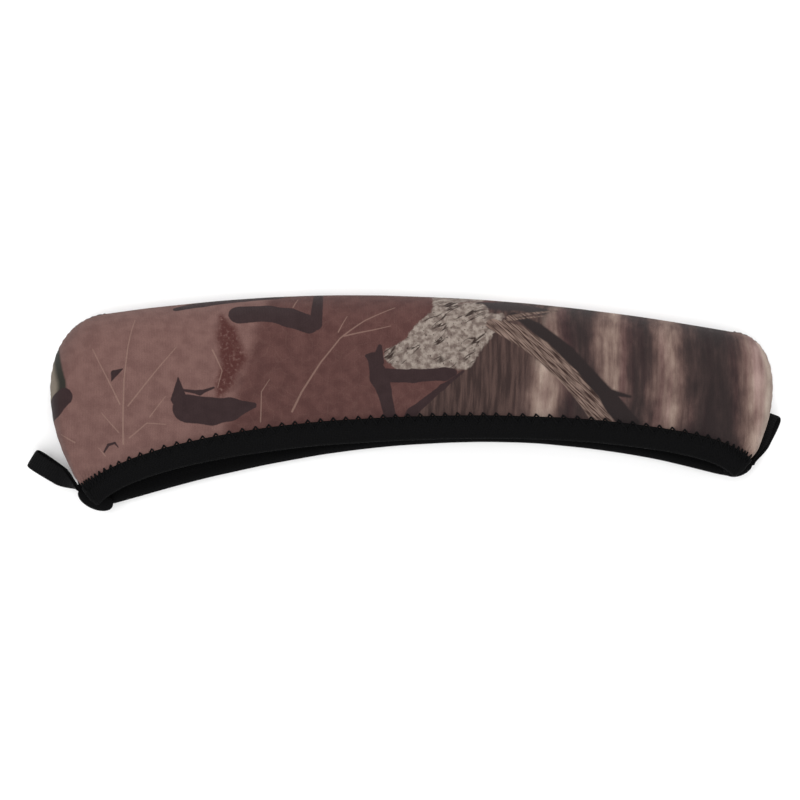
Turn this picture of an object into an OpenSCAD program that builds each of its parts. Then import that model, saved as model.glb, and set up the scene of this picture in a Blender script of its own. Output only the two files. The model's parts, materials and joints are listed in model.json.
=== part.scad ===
// Neoprene sleeve cover for a telescopic sight, lying on its right side.
// +X runs from the objective end to the eyepiece end, +Y from the mouth to the crown, +Z up.
// Every fabric wall is swept between two curves in plan: the mouth's rim and the outline.

/* [Sleeve] */
// Length of the sleeve, from end seam to end seam
sleeve_l = 356; // [340:1:372]
// Height of the objective end, from mouth corner to crown corner
objective_h = 94; // [90:1:98]
// Height of the eyepiece end, from mouth corner to crown corner
eyepiece_h = 71; // [68:1:74]
// Rise of the crown above its two corners
crown_rise = 13; // [10:0.5:16]
// Rise of the upper lip above the two mouth corners
left_lip_rise = 26; // [24:0.5:28]
// Rise of the lower lip above the two mouth corners
right_lip_rise = 23; // [21:0.5:25]

/* [Section] */
// Height of the two end seams above the table
seam_z = 16; // [15:0.5:18]
// Bulge of the left side above the seams
left_bulge = 23; // [20:0.5:26]
// Distance of each lip's outer face from the seam plane
lip_gap = 9; // [8.5:0.5:10]
// Radius in plan over which the crown and the ends turn
crown_r = 22; // [18:1:24]

/* [Laminate] */
// Thickness of the printed jersey on the outside
face_t = 0.6; // [0.5:0.1:0.8]
// Thickness of the chloroprene foam
foam_t = 2; // [1.6:0.1:2.2]
// Thickness of the black jersey inside
lining_t = 0.5; // [0.4:0.1:0.6]

/* [Binding] */
// Width of the elastic that shows on each face of the lip
binding_w = 10; // [9:0.5:12]
// Thickness of the elastic
binding_t = 1; // [0.8:0.1:1.2]
// Thickness of the sewing thread
thread_d = 0.5; // [0.4:0.1:0.6]
// Length of one zigzag at the middle of the mouth
zigzag_pitch = 6.1; // [5.5:0.1:7]

/* [Pull loops] */
// Width of the loops' elastic ribbon
ribbon_w = 9; // [8:0.5:10]
// Thickness of one ply of the ribbon
ribbon_t = 1.1; // [0.9:0.1:1.3]
// Length of the loop at the objective end
objective_loop_l = 24; // [18:1:26]
// Length of the loop at the eyepiece end
eyepiece_loop_l = 20; // [17:1:23]

/* [Hidden] */

wall_t = face_t + foam_t + lining_t;
side_gap = 0.15;        // each side stays this far from the seam plane
clear = 0.1;            // between layers that only lie on each other
flat_share = 0.5;       // where the right side's section meets the table
first_s = 0.012;        // the first section's share of the outline
stations = 40;          // sections along the sleeve
belly_steps = 8;        // steps of a section from the rim to the belly
crown_steps = 6;        // steps of a section round the crown
end_share = [0.21, 0.17];   // parts of the outline that are the objective and the eyepiece end seam
rim_share = [0.085, 0.073]; // parts of the rim that those two ends fan out from

// Plan. The outline runs from the objective mouth corner over the crown to the eyepiece mouth corner.
half_l = sleeve_l / 2;
centre = [0.4, -1.1];     // puts the footprint, loops included, over the origin
objective_mouth = centre + [24 - half_l, -50];
objective_crown = objective_mouth + [6, objective_h];
eyepiece_mouth = centre + [half_l - 18, -36];
eyepiece_crown = eyepiece_mouth + [-2, eyepiece_h];
objective_seam = [objective_mouth, centre + [-half_l - 8, -13], centre + [-half_l - 6, 41], objective_crown];
eyepiece_seam = [eyepiece_mouth, centre + [half_l + 6, -12], centre + [half_l + 8, 34], eyepiece_crown];
crown_line = arch(objective_crown, eyepiece_crown, crown_rise, [0.31, 1.31], [0.63, 1.34]);

function left_lip() = arch(objective_mouth, eyepiece_mouth, left_lip_rise, [0.1, 1.48], [0.93, 1.19]);
function right_lip() = arch(objective_mouth, eyepiece_mouth, right_lip_rise, [0.21, 0.71], [0.6, 1.96]);

// Control points of an arch from a to b. Each inner one is [its share of the span, its lift in rises].
function arch(a, b, rise, first, second) =
    [a, a + (b - a) * first[0] + [0, rise * first[1]], a + (b - a) * second[0] + [0, rise * second[1]], b];

function bezier(c, t) =
    let (u = 1 - t) u*u*u * c[0] + 3*u*u*t * c[1] + 3*u*t*t * c[2] + t*t*t * c[3];

// Outline and its outward normal at share s of its run.
function outline(s) =
    s < end_share[0] ? bezier(objective_seam, s / end_share[0]) :
    s > 1 - end_share[1] ? bezier(eyepiece_seam, (1 - s) / end_share[1]) :
    bezier(crown_line, (s - end_share[0]) / (1 - end_share[0] - end_share[1]));

function outward(s) =
    let (e = 0.002, a = outline(max(0, s - e)), b = outline(min(1, s + e)), v = (b - a) / norm(b - a))
    [-v[1], v[0]];

// How a fan's sections leave the mouth corner: slowly at first.
function fan(q) = q * (0.2 + 0.8 * q * q);

// Share of the rim that the section at s starts from.
function rim_at(s) =
    s < end_share[0] ? rim_share[0] * fan(s / end_share[0]) :
    s > 1 - end_share[1] ? 1 - rim_share[1] * fan((1 - s) / end_share[1]) :
    rim_share[0] + (1 - rim_share[0] - rim_share[1]) * (s - end_share[0]) / (1 - end_share[0] - end_share[1]);

function rounded(q) = q >= 1 ? 1 : sqrt(1 - (1 - q) * (1 - q));

// 1 along the sleeve, falling to 0 at both mouth corners.
function fullness(s) = min(rounded(s / (1.2 * end_share[0])), rounded((1 - s) / (1.2 * end_share[1])));

// The wall thins in the pinched mouth corners.
function pinch(s) = min(1, 0.6 * lip_gap * fullness(s) / wall_t);

// A side is [rim control points, bulge, where its belly is full, +1 up or -1 down].
function left_side() = [left_lip(), left_bulge, 1, 1];
function right_side() = [right_lip(), seam_z, flat_share, -1];

// Point of a side's wall: s along the sleeve, x in plan from the rim, depth into the wall.
function depth_at(s, depth) = depth > 0 ? depth * pinch(s) : depth;
function reach(side, s, depth) =
    norm(outline(s) - depth_at(s, depth) * outward(s) - bezier(side[0], rim_at(s)));
function turn_r(side, s, depth) =
    max(0.2, min(crown_r, 0.55 * reach(side, s, 0)) - depth_at(s, depth));

function wall_height(side, s, x, depth) =
    let (d = depth_at(s, depth),
         len = reach(side, s, depth),
         r = min(turn_r(side, s, depth), 0.9 * len),
         full = side[1] * fullness(s) - d,
         lip = lip_gap * fullness(s) - d,
         c = len - x)
    max(side_gap, c < r ? full * rounded(c / r)
                        : lip + (full - lip) * sin(90 * min(1, x / (len - r) / side[2])));

function wall_point(side, s, x, depth) =
    let (rim = bezier(side[0], rim_at(s)),
         edge = outline(s) - depth_at(s, depth) * outward(s),
         p = rim + (edge - rim) * x / norm(edge - rim))
    [p[0], p[1], seam_z + side[3] * wall_height(side, s, x, depth)];

// Distances from the rim at which a section is drawn, close together round the crown.
function section_steps(side, s, depth) =
    let (len = reach(side, s, depth), r = min(turn_r(side, s, depth), 0.9 * len))
    [for (i = [0 : belly_steps - 1]) (len - r) * i / belly_steps,
     for (j = [0 : crown_steps]) len - r * (1 - sin(90 * j / crown_steps))];

// Stations lie closer together towards both ends.
function station(i) = let (q = i / stations)
    first_s + (1 - 2 * first_s) * (0.25 * q + 0.375 * (1 - cos(180 * q)));

// A closed shell between two faces. Each section is [points of the outer face, points of the inner face].
module shell(sections, up) {
    m = len(sections[0][0]);
    last = len(sections) - 1;
    function out(i, j) = i * 2 * m + j;
    function inn(i, j) = i * 2 * m + m + j;
    function quad(a, b, c, d) = [[a, b, c], [a, c, d]];
    faces = [
        for (i = [0 : last - 1], j = [0 : m - 2]) each concat(
            quad(out(i, j), out(i, j + 1), out(i + 1, j + 1), out(i + 1, j)),
            quad(inn(i, j), inn(i + 1, j), inn(i + 1, j + 1), inn(i, j + 1))),
        for (i = [0 : last - 1]) each concat(
            quad(out(i, 0), out(i + 1, 0), inn(i + 1, 0), inn(i, 0)),
            quad(inn(i, m - 1), inn(i + 1, m - 1), out(i + 1, m - 1), out(i, m - 1))),
        for (j = [0 : m - 2]) each concat(
            quad(out(0, j), inn(0, j), inn(0, j + 1), out(0, j + 1)),
            quad(out(last, j + 1), inn(last, j + 1), inn(last, j), out(last, j)))];
    polyhedron(
        points = [for (section = sections) each concat(section[0], section[1])],
        faces = up ? [for (f = faces) [f[0], f[2], f[1]]] : faces,
        convexity = 8);
}

// One layer of a side's wall, between two depths.
module layer(side, outer, inner) {
    function face_of(s, depth) = [for (x = section_steps(side, s, depth)) wall_point(side, s, x, depth)];
    shell([for (i = [0 : stations]) [face_of(station(i), outer), face_of(station(i), inner)]], side[3] > 0);
}

module face_fabric(side) color("rosybrown") layer(side, 0, face_t);
module foam_core(side) color("dimgray") layer(side, face_t, face_t + foam_t);
module lining_fabric(side) color("black") layer(side, face_t + foam_t, wall_t);

// Fold-over elastic: a leg on each face of the lip, and a bend round its cut edge.
function leg_point(side, s, x, depth) = wall_point(side, s, min(x, reach(side, s, depth)), depth);

function binding_section(side, s) =
    let (leg = min(binding_w, reach(side, s, 0) - side_gap),
         steps = [for (k = [0 : 3]) leg * k / 3],
         lined = wall_t + 2 * clear,
         down = bezier(side[0], rim_at(s)) - outline(s),
         out = [down[0], down[1], 0] / norm(down),
         a = leg_point(side, s, 0, -clear - binding_t),
         b = leg_point(side, s, 0, lined + binding_t))
    [[for (k = [3 : -1 : 0]) leg_point(side, s, steps[k], -clear - binding_t),
      a * 0.75 + b * 0.25 + out * (clear + binding_t * 0.9),
      a * 0.25 + b * 0.75 + out * (clear + binding_t * 0.9),
      for (x = steps) leg_point(side, s, x, lined + binding_t)],
     [for (k = [3 : -1 : 0]) leg_point(side, s, steps[k], -clear),
      leg_point(side, s, 0, -clear) + out * clear,
      leg_point(side, s, 0, lined) + out * clear,
      for (x = steps) leg_point(side, s, x, lined)]];

module mouth_binding(side) color("#151515")
    shell([for (i = [0 : stations]) binding_section(side, station(i))], side[3] < 0);

// Square thread along a path; up is the direction in which its corners point.
module thread(path, up) {
    last = len(path) - 1;
    r = thread_d / 2;
    function ring(i) =
        let (along = path[min(last, i + 1)] - path[max(0, i - 1)], side = cross(up, along),
             a = side / norm(side) * r)
        [path[i] + a, path[i] + up * r, path[i] - a, path[i] - up * r];
    function quad(i, j) = let (a = i * 4 + j, b = i * 4 + (j + 1) % 4) [[a, b, b + 4], [a, b + 4, a + 4]];
    color("black") polyhedron(
        points = [for (i = [0 : last]) each ring(i)],
        faces = [for (i = [0 : last - 1], j = [0 : 3]) each quad(i, j), [2, 1, 0], [3, 2, 0],
                 [last * 4, last * 4 + 1, last * 4 + 2], [last * 4, last * 4 + 2, last * 4 + 3]],
        convexity = 8);
}

// The zigzag steps down from the elastic on to the jersey at each peak. Its stations lie closest together at
// the middle of the mouth, where a share of the sleeve is longest.
zigzags = 2 * round(0.55 * sleeve_l / zigzag_pitch);
over = -2 * clear - binding_t - thread_d / 2;
low = -clear - thread_d / 2;

function zigzag_at(k) = let (q = k / zigzags) 0.05 + 0.9 * (q + 0.04 * sin(360 * q));
function zigzag_path(side) =
    [for (k = [0 : zigzags - 1]) each [
        wall_point(side, zigzag_at(k), binding_w - 3.2, over),
        wall_point(side, zigzag_at(k + 0.38), binding_w + 0.3, over),
        wall_point(side, zigzag_at(k + 0.5), binding_w + 2.2, low),
        wall_point(side, zigzag_at(k + 0.62), binding_w + 0.3, over)],
     wall_point(side, zigzag_at(zigzags), binding_w - 3.2, over)];

module binding_stitching(side) thread(zigzag_path(side), [0, 0, 1]);

// The end seams: thread laid to and fro across the line where the two sides meet.
seam_stitches = 34;
seam_half_w = 1.5;

function seam_point(s, z) =
    let (p = outline(s) + outward(s) * (clear + thread_d / 2)) [p[0], p[1], seam_z + z];

module end_seam_thread(s0, s1) {
    mid = outward((s0 + s1) / 2);
    points = [for (k = [0 : seam_stitches])
        seam_point(s0 + (s1 - s0) * k / seam_stitches, seam_half_w * (k % 2 == 0 ? -1 : 1))];
    thread(points, [mid[0], mid[1], 0]);
}

// Pull loops: a ribbon with both ends sewn in at a mouth corner. It turns about its length towards the tip.
base_gap = 2.2;

function loop_line(l, half_open, k) =
    let (ply = ribbon_t / 2 + 0.05, side = k < 0.5 ? 1 : -1, t = k < 0.5 ? 2 * k : 2 - 2 * k,
         p = bezier([[0, ply], [0.55 * l, ply], [l, half_open * 2.2], [l, 0]], t)) [p[0], side * p[1]];

// At x along the loop: which way its two plies part, and which way the ribbon is wide.
function part_dir(x, l, aside, turn) =
    let (a = turn * min(1, max(0, x / l - 0.1) / 0.8)) aside * cos(a) + [0, 0, sin(a)];
function wide_dir(x, l, aside, turn) =
    let (a = turn * min(1, max(0, x / l - 0.1) / 0.8)) [0, 0, cos(a)] - aside * sin(a);

module pull_loop(s, heading, l, half_open, turn) {
    n = 40;
    base = outline(s) + outward(s) * base_gap;
    ahead = [cos(heading), sin(heading), 0];
    aside = [-sin(heading), cos(heading), 0];
    function at(k) =
        let (p = loop_line(l, half_open, k))
        [base[0], base[1], seam_z] + ahead * p[0] + part_dir(p[0], l, aside, turn) * p[1];
    function section(k) =
        let (wide = wide_dir(loop_line(l, half_open, k)[0], l, aside, turn),
             thick = cross(at(min(1, k + 0.004)) - at(max(0, k - 0.004)), wide),
             b = thick / norm(thick) * ribbon_t / 2, c = wide * ribbon_w / 2)
        [[at(k) + b + c, at(k) + b - c], [at(k) - b + c, at(k) - b - c]];
    color("#151515") shell([for (i = [0 : n]) section(i / n)], true);
}

face_fabric(left_side());  // left_face_fabric
foam_core(left_side());  // left_foam_core
lining_fabric(left_side());  // left_lining_fabric
face_fabric(right_side());  // right_face_fabric
foam_core(right_side());  // right_foam_core
lining_fabric(right_side());  // right_lining_fabric
mouth_binding(left_side());  // left_mouth_binding
mouth_binding(right_side());  // right_mouth_binding
binding_stitching(left_side());  // left_binding_stitching
binding_stitching(right_side());  // right_binding_stitching
end_seam_thread(0.04, end_share[0] - 0.004);  // objective_end_seam_thread
end_seam_thread(0.965, 1 - end_share[1] + 0.004);  // eyepiece_end_seam_thread
pull_loop(0.017, 147, objective_loop_l, 4, 80);  // objective_pull_loop
pull_loop(0.982, 53, eyepiece_loop_l, 3, 12);  // eyepiece_pull_loop
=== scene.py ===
# %% Load the frame
import json
import math

import bpy
import numpy as np
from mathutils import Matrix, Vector, noise


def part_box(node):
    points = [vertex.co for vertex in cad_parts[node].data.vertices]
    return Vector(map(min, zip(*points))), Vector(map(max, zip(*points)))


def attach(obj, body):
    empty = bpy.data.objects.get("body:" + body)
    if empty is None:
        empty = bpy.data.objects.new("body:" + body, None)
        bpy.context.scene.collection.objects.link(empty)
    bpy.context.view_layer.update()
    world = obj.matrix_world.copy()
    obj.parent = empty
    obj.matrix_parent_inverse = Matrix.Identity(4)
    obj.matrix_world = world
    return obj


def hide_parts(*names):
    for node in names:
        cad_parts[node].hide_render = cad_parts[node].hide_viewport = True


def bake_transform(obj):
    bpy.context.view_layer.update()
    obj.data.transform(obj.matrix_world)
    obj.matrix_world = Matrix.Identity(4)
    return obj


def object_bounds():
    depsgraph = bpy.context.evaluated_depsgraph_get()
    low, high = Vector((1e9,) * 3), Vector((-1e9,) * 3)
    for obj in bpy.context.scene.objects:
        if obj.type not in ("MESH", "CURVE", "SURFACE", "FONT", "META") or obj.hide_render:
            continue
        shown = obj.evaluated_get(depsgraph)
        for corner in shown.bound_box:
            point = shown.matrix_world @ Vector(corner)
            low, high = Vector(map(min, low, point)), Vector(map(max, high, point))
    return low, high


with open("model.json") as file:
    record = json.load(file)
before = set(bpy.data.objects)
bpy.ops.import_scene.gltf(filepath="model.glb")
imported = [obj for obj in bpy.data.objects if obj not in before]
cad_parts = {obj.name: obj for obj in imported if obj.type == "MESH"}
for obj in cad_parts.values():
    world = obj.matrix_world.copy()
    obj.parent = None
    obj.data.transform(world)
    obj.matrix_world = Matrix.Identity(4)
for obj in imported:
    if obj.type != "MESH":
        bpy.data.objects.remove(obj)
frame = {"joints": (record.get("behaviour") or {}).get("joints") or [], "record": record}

CAD_BOX = [list(corner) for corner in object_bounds()]
MM = 0.001
print("CAD box in mm:", [[round(v / MM, 1) for v in corner] for corner in CAD_BOX])

# %% [markdown]
# The cover is a sewn sleeve for a telescopic sight. A blank of laminated neoprene is folded at the crown
# and sewn at both ends. Its mouth is bound with fold-over elastic, held by a wide zigzag, and a pull loop
# sits at each end. It lies on its right side: +X runs to the eyepiece end, +Y to the crown, +Z up.
#
# The frame says where the cover turns. The joint of the mouth gives the height of the seam plane, and the
# joints of the loops give the places where they are sewn in.

# %% Places from the frame
joints = {joint["name"]: joint for joint in frame["joints"]}
SEAM_Z = joints["mouth_spread"]["pos_m"][2] / MM
LOOP_BASE = {name: np.array(joints[name + "_loop_swing"]["pos_m"]) / MM
             for name in ("objective", "eyepiece")}
LOOP_HEADING = {mount["name"][:-9]: math.degrees(math.atan2(mount["axis"][1], mount["axis"][0]))
                for mount in frame["record"]["mounts"] if mount["name"].endswith("_loop_eye")}
LEFT_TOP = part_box("left_face_fabric")[1][2] / MM
print("seam plane at", SEAM_Z, "mm, loops head", LOOP_HEADING)

# %% [markdown]
# The camera looks almost straight down at the lying cover, as over a packing table. A long lens keeps the
# two ends in proportion. It comes first, so that every later look is through the same lens.

# %% Camera
VIEW_WIDTH = 0.3928
FOCAL, SENSOR = 85.0, 36.0
AIM = Vector((-0.0043, 0.0001, 0.02))
TILT = math.radians(88)
camera = bpy.data.objects.new("camera", bpy.data.cameras.new("camera"))
camera.data.lens = FOCAL
camera.data.sensor_width = SENSOR
bpy.context.scene.collection.objects.link(camera)
away = VIEW_WIDTH * FOCAL / SENSOR
camera.location = AIM + away * Vector((0, -math.cos(TILT), math.sin(TILT)))
camera.rotation_euler = (math.pi / 2 - TILT, 0, 0)
bpy.context.scene.camera = camera
print("camera", round(away, 3), "m from the cover")

# %% [markdown]
# The light is a studio tent: a large soft panel overhead, a weaker one from the crown side that draws the
# roll of the cloth, and a pale world that fills the shadows. The floor is a plain pale sheet.

# %% Light and floor
def soft_panel(name, place, size, power):
    data = bpy.data.lights.new(name, "AREA")
    data.shape, data.size, data.energy = "DISK", size, power
    panel = bpy.data.objects.new(name, data)
    bpy.context.scene.collection.objects.link(panel)
    panel.location = place
    panel.rotation_euler = (AIM - Vector(place)).to_track_quat("-Z", "Y").to_euler()


soft_panel("overhead", (-0.15, -0.25, 1.3), 1.1, 15)
soft_panel("crown_side", (0.35, 0.9, 0.75), 0.6, 7)
world = bpy.data.worlds.new("tent")
world.use_nodes = True
world.node_tree.nodes["Background"].inputs["Color"].default_value = (1, 1, 1, 1)
world.node_tree.nodes["Background"].inputs["Strength"].default_value = 0.62
bpy.context.scene.world = world
bpy.context.scene.view_settings.view_transform = "Standard"

bpy.ops.mesh.primitive_plane_add(size=6, location=(0, 0, CAD_BOX[0][2]))
floor = bpy.context.object
floor.name = "floor"
floor.data.materials.append(bpy.data.materials.new("pale_floor"))
floor.data.materials[0].use_nodes = True
floor_shader = floor.data.materials[0].node_tree.nodes["Principled BSDF"]
floor_shader.inputs["Base Color"].default_value = (0.9, 0.9, 0.9, 1)
floor_shader.inputs["Roughness"].default_value = 0.9

# %% [markdown]
# Every finish below is a node tree, and most of its nodes are small sums. A short class keeps them
# readable: each method adds one node and returns its output, so a print or a weave can be written like a
# formula.

# %% A helper for materials
def srgb(*levels):
    """Linear colour of a shade given as 0 to 255 levels."""
    shares = [v / 255 for v in levels]
    return tuple(v / 12.92 if v < 0.04045 else ((v + 0.055) / 1.055) ** 2.4 for v in shares) + (1,)


class Finish:
    """A material, with one method for each kind of node it is made of."""

    def __init__(self, name, roughness, sheen=0.0, specular=0.3):
        self.material = bpy.data.materials.new(name)
        self.material.use_nodes = True
        self.tree = self.material.node_tree
        self.shader = self.tree.nodes["Principled BSDF"]
        self.shader.inputs["Roughness"].default_value = roughness
        self.shader.inputs["Sheen Weight"].default_value = sheen
        self.shader.inputs["Sheen Roughness"].default_value = 0.5
        self.shader.inputs["Specular IOR Level"].default_value = specular

    def give(self, socket, value):
        if isinstance(value, bpy.types.NodeSocket):
            self.tree.links.new(value, socket)
        elif value is not None:
            socket.default_value = value

    def node(self, kind, **settings):
        made = self.tree.nodes.new(kind)
        for key, value in settings.items():
            setattr(made, key, value)
        return made

    def math(self, operation, a, b=None, c=None):
        made = self.node("ShaderNodeMath", operation=operation)
        for socket, value in zip(made.inputs, (a, b, c)):
            self.give(socket, value)
        return made.outputs[0]

    def held(self, value):
        """The value held between 0 and 1. A node's own clamp would swell a long tree."""
        return self.math("MINIMUM", self.math("MAXIMUM", value, 0.0), 1.0)

    def vector(self, operation, a, b=None, scale=None):
        made = self.node("ShaderNodeVectorMath", operation=operation)
        self.give(made.inputs[0], a)
        if operation == "SCALE":
            self.give(made.inputs["Scale"], scale)
        else:
            self.give(made.inputs[1], b)
        return made.outputs["Value" if operation in ("DOT_PRODUCT", "DISTANCE", "LENGTH") else "Vector"]

    def dot(self, a, b):
        return self.vector("DOT_PRODUCT", a, b)

    def noise(self, at, scale, detail=2.0, output="Fac"):
        made = self.node("ShaderNodeTexNoise")
        self.give(made.inputs["Vector"], at)
        made.inputs["Scale"].default_value = scale
        made.inputs["Detail"].default_value = detail
        return made.outputs[output]

    def between(self, value, low, high):
        """0 below low and 1 above high, or the other way round, with a smooth step."""
        made = self.node("ShaderNodeMapRange", interpolation_type="SMOOTHSTEP", clamp=False)
        self.give(made.inputs["Value"], value)
        made.inputs["From Min"].default_value = min(low, high)
        made.inputs["From Max"].default_value = max(low, high)
        made.inputs["To Min"].default_value = 0.0 if low < high else 1.0
        made.inputs["To Max"].default_value = 1.0 if low < high else 0.0
        return made.outputs["Result"]

    def tint(self, share, under, over, blend="MIX"):
        made = self.node("ShaderNodeMix", data_type="RGBA", blend_type=blend)
        for name, value in (("Factor_Float", share), ("A_Color", under), ("B_Color", over)):
            self.give(next(s for s in made.inputs if s.identifier == name), value)
        return next(s for s in made.outputs if s.identifier == "Result_Color")

    def shades(self, value, stops):
        """A colour ramp: stops are (place from 0 to 1, colour)."""
        made = self.node("ShaderNodeValToRGB")
        ramp = made.color_ramp
        ramp.interpolation = "B_SPLINE"
        for place, colour in stops[2:]:
            ramp.elements.new(place)
        for element, (place, colour) in zip(ramp.elements, stops):
            element.position, element.color = place, colour
        self.give(made.inputs["Fac"], value)
        return made.outputs["Color"]

    def turned(self, at, degrees, stretch):
        """Coordinates turned by an angle, then stretched, for a grain that runs one way."""
        made = self.node("ShaderNodeVectorRotate", rotation_type="Z_AXIS")
        self.give(made.inputs["Vector"], at)
        made.inputs["Angle"].default_value = -math.radians(degrees)
        return self.vector("MULTIPLY", made.outputs["Vector"], stretch)

    def cloth_mm(self):
        """The piece's own flat-pattern coordinates, in millimetres."""
        made = self.node("ShaderNodeUVMap", uv_map="cloth")
        return self.vector("SCALE", made.outputs["UV"], scale=1 / MM)

    def paint(self, colour):
        self.give(self.shader.inputs["Base Color"], colour)

    def bump(self, height, depth, strength=1.0):
        made = self.node("ShaderNodeBump")
        made.inputs["Strength"].default_value = strength
        made.inputs["Distance"].default_value = depth
        self.give(made.inputs["Height"], height)
        self.tree.links.new(made.outputs["Normal"], self.shader.inputs["Normal"])

# %% [markdown]
# The print is the cover's face, so it gets the most care. Such a woodland print is a collage: dry leaves,
# fallen bark, a branch and blurred trunks, each with a soft torn edge. It is drawn here in millimetres on
# the flat cloth. Every motif is a few strokes with a width at each point, so its edge is a distance that
# stays sharp at any size, and a slow noise bends the whole drawing so that nothing looks ruled.

# %% Strokes for the print
def stroke(finish, at, points, blend=0.0):
    """Distance outside a stroke, negative inside. Its points are (x, y, width)."""
    nearest = None
    for (ax, ay, a_width), (bx, by, b_width) in zip(points, points[1:]):
        run = np.array((bx - ax, by - ay, 0.0))
        off = finish.vector("SUBTRACT", at, (ax, ay, 0))
        share = finish.held(finish.dot(off, tuple(run / (run @ run))))
        gap = finish.vector("DISTANCE", off, finish.vector("SCALE", tuple(run), scale=share))
        radius = finish.math("MULTIPLY_ADD", share, (b_width - a_width) / 2, a_width / 2)
        outside = finish.math("SUBTRACT", gap, radius)
        if nearest is None:
            nearest = outside
        else:
            nearest = finish.math("SMOOTH_MIN", nearest, outside, blend)
    return nearest


def strokes(finish, at, many, blend=0.0):
    """Distance to the nearest of several strokes."""
    nearest = stroke(finish, at, many[0], blend)
    for points in many[1:]:
        nearest = finish.math("MINIMUM", nearest, stroke(finish, at, points, blend))
    return nearest


def vein(width, *points):
    """A line that thins out along its run."""
    return [(x, y, width * (1 - 0.6 * k / (len(points) - 1))) for k, (x, y) in enumerate(points)]


# %% Motifs of the print
VEINS = [
    vein(0.7, (-138.5, -22), (-137.5, 9), (-133, 40)), vein(0.55, (-139.5, -2), (-152, 24)),
    vein(0.55, (-135.5, -3), (-112, 25)), vein(0.45, (-140.5, -16), (-148.5, -6)),
    vein(0.5, (-135.5, -19), (-126.5, -12), (-117.5, -13)), vein(0.4, (-125, -9), (-117.5, 1)),
    vein(0.5, (-161.5, -21), (-168.5, -17)), vein(0.5, (-95, 24), (-90, 14), (-92, 6)),
    vein(0.4, (-147, -28), (-150, -24)), vein(0.4, (-72, -12), (-71, 3), (-67, 9)),
    vein(0.8, (-57, -7), (-52, 3), (-42, 18), (-33, 29), (-21, 38), (-7, 46)),
    vein(0.45, (-34, 32), (-30, 40)), vein(0.5, (-31, 30), (-17, 33), (-9, 35)),
    vein(0.5, (-56, 46), (-54, 53)),
]
DARK_LEAVES = [
    [(-107, -5, 14.5), (-96, -6, 13.5), (-86, -5, 11), (-75, -3.5, 3)],
    [(-111, 0, 8), (-111.4, 10, 0.6)],
    [(-109, 4.2, 1.2), (-101, 3.2, 2), (-94, 5.8, 1)],
    [(-82, 42, 11), (-68, 42.5, 9.5), (-58, 40, 10), (-48, 36, 9)],
    [(-45, 36, 6), (-44.5, 62, 4)],
    [(-113, 49, 4), (-100, 54, 9), (-80, 59, 12), (-66, 60, 11)],
    [(-20, 20.5, 1.5), (-17, 19.5, 5), (-14, 10, 9), (-12, 4, 6.5), (-8.5, -10, 6)],
    [(-14, 25, 2), (-15, 18, 6)],
    [(-14, 11.5, 7), (2, 11.2, 6.2), (17, 12, 6.2), (21, 12.8, 4)],
    [(26, 13.5, 1), (16, 5.5, 2.5), (2, -7, 5), (0, -11, 5)],
    [(-187, -7, 12), (-173, -4, 10.5), (-166, 1.5, 8)],
]
SMALL_MARKS = [
    [(-143.4, 9, 0.4), (-142, 12.5, 3.2), (-138, 14.5, 0.6)],
    [(-147.5, -26, 0.8), (-145.5, -22.5, 1.3), (-142.5, -21.5, 1), (-141, -23.5, 0.5)],
]
RED_SHADOW = [[(-91, 41, 3), (-88, 31, 9), (-85, 20, 12), (-88, 9, 8), (-91, 2, 3)]]
END_SLIVER = [(-186, 25, 20), (-182.5, 6, 26)]
PALE_BARK = [[(-4, 20, 12), (8, 24, 20), (18, 30, 28), (24, 38, 24), (30, 44, 16)],
             [(24, 24, 20), (36, 36, 12), (44, 41, 4)], [(-8, 21, 8), (-4, 20, 12)],
             [(16, 46, 10), (18, 58, 12), (30, 58, 10)]]
BRANCH = [(40, 36, 6), (52, 31, 9), (64, 23, 9.5), (77, 11, 9), (88, -2, 9), (95, -13, 9)]
BRANCH_SHADE = [(50, 42, 3), (62, 34, 6), (76, 22, 8), (88, 8, 9), (98, -2, 9), (108, -13, 9)]
THORN = [(96, 3, 4), (107, 1, 1)]
TWIGS = [[(48, 40, 2.5), (72, 47, 1)], [(46, 38, 1.5), (66, 42, 0.6)]]
CROWN_MOSS = [[(33, 50, 6), (48, 50, 10), (65, 46, 6)]]
# Trunks: place across the cloth in mm, and tone from 0, deep shade, to 1, sunlit.
TRUNKS = [(56, 0.35), (63, 0.86), (70, 0.7), (76, 0.3), (84, 0.03), (91, 0.5), (98, 0.8), (105, 0.45),
          (111, 0.05), (118, 0.42), (125, 0.75), (131, 0.45), (139, 0.2), (144, 0.03), (152, 0.1),
          (160, 0.38), (166, 0.72), (172, 0.96), (179, 0.8)]

# %% [markdown]
# The motifs are laid over each other like the layers of a collage: leaves first, then their veins and
# shadows, the trunks of the eyepiece end, the fallen bark, and the branch on top. The underside of the
# cover is the same cloth further along the roll, so past the crown the drawing is looked up at another
# place. Over all of it lie the dull mottle of ink on knit and the knit's wales, with painted shade in their
# valleys.

# %% The printed jersey
LEAF_TAN, LEAF_RED, RED_DEEP = srgb(131, 99, 93), srgb(102, 70, 66), srgb(86, 50, 47)
VEIN, TRUNK_DARK = srgb(160, 130, 118), srgb(48, 40, 40)
BARK_PALE, BARK_GREY = srgb(168, 155, 145), srgb(118, 103, 96)
ROLL_SHIFT, ROLL_LENGTH = (-128.0, 104.0, 0.0), 360.0
KNIT_PITCH = 0.62


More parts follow.
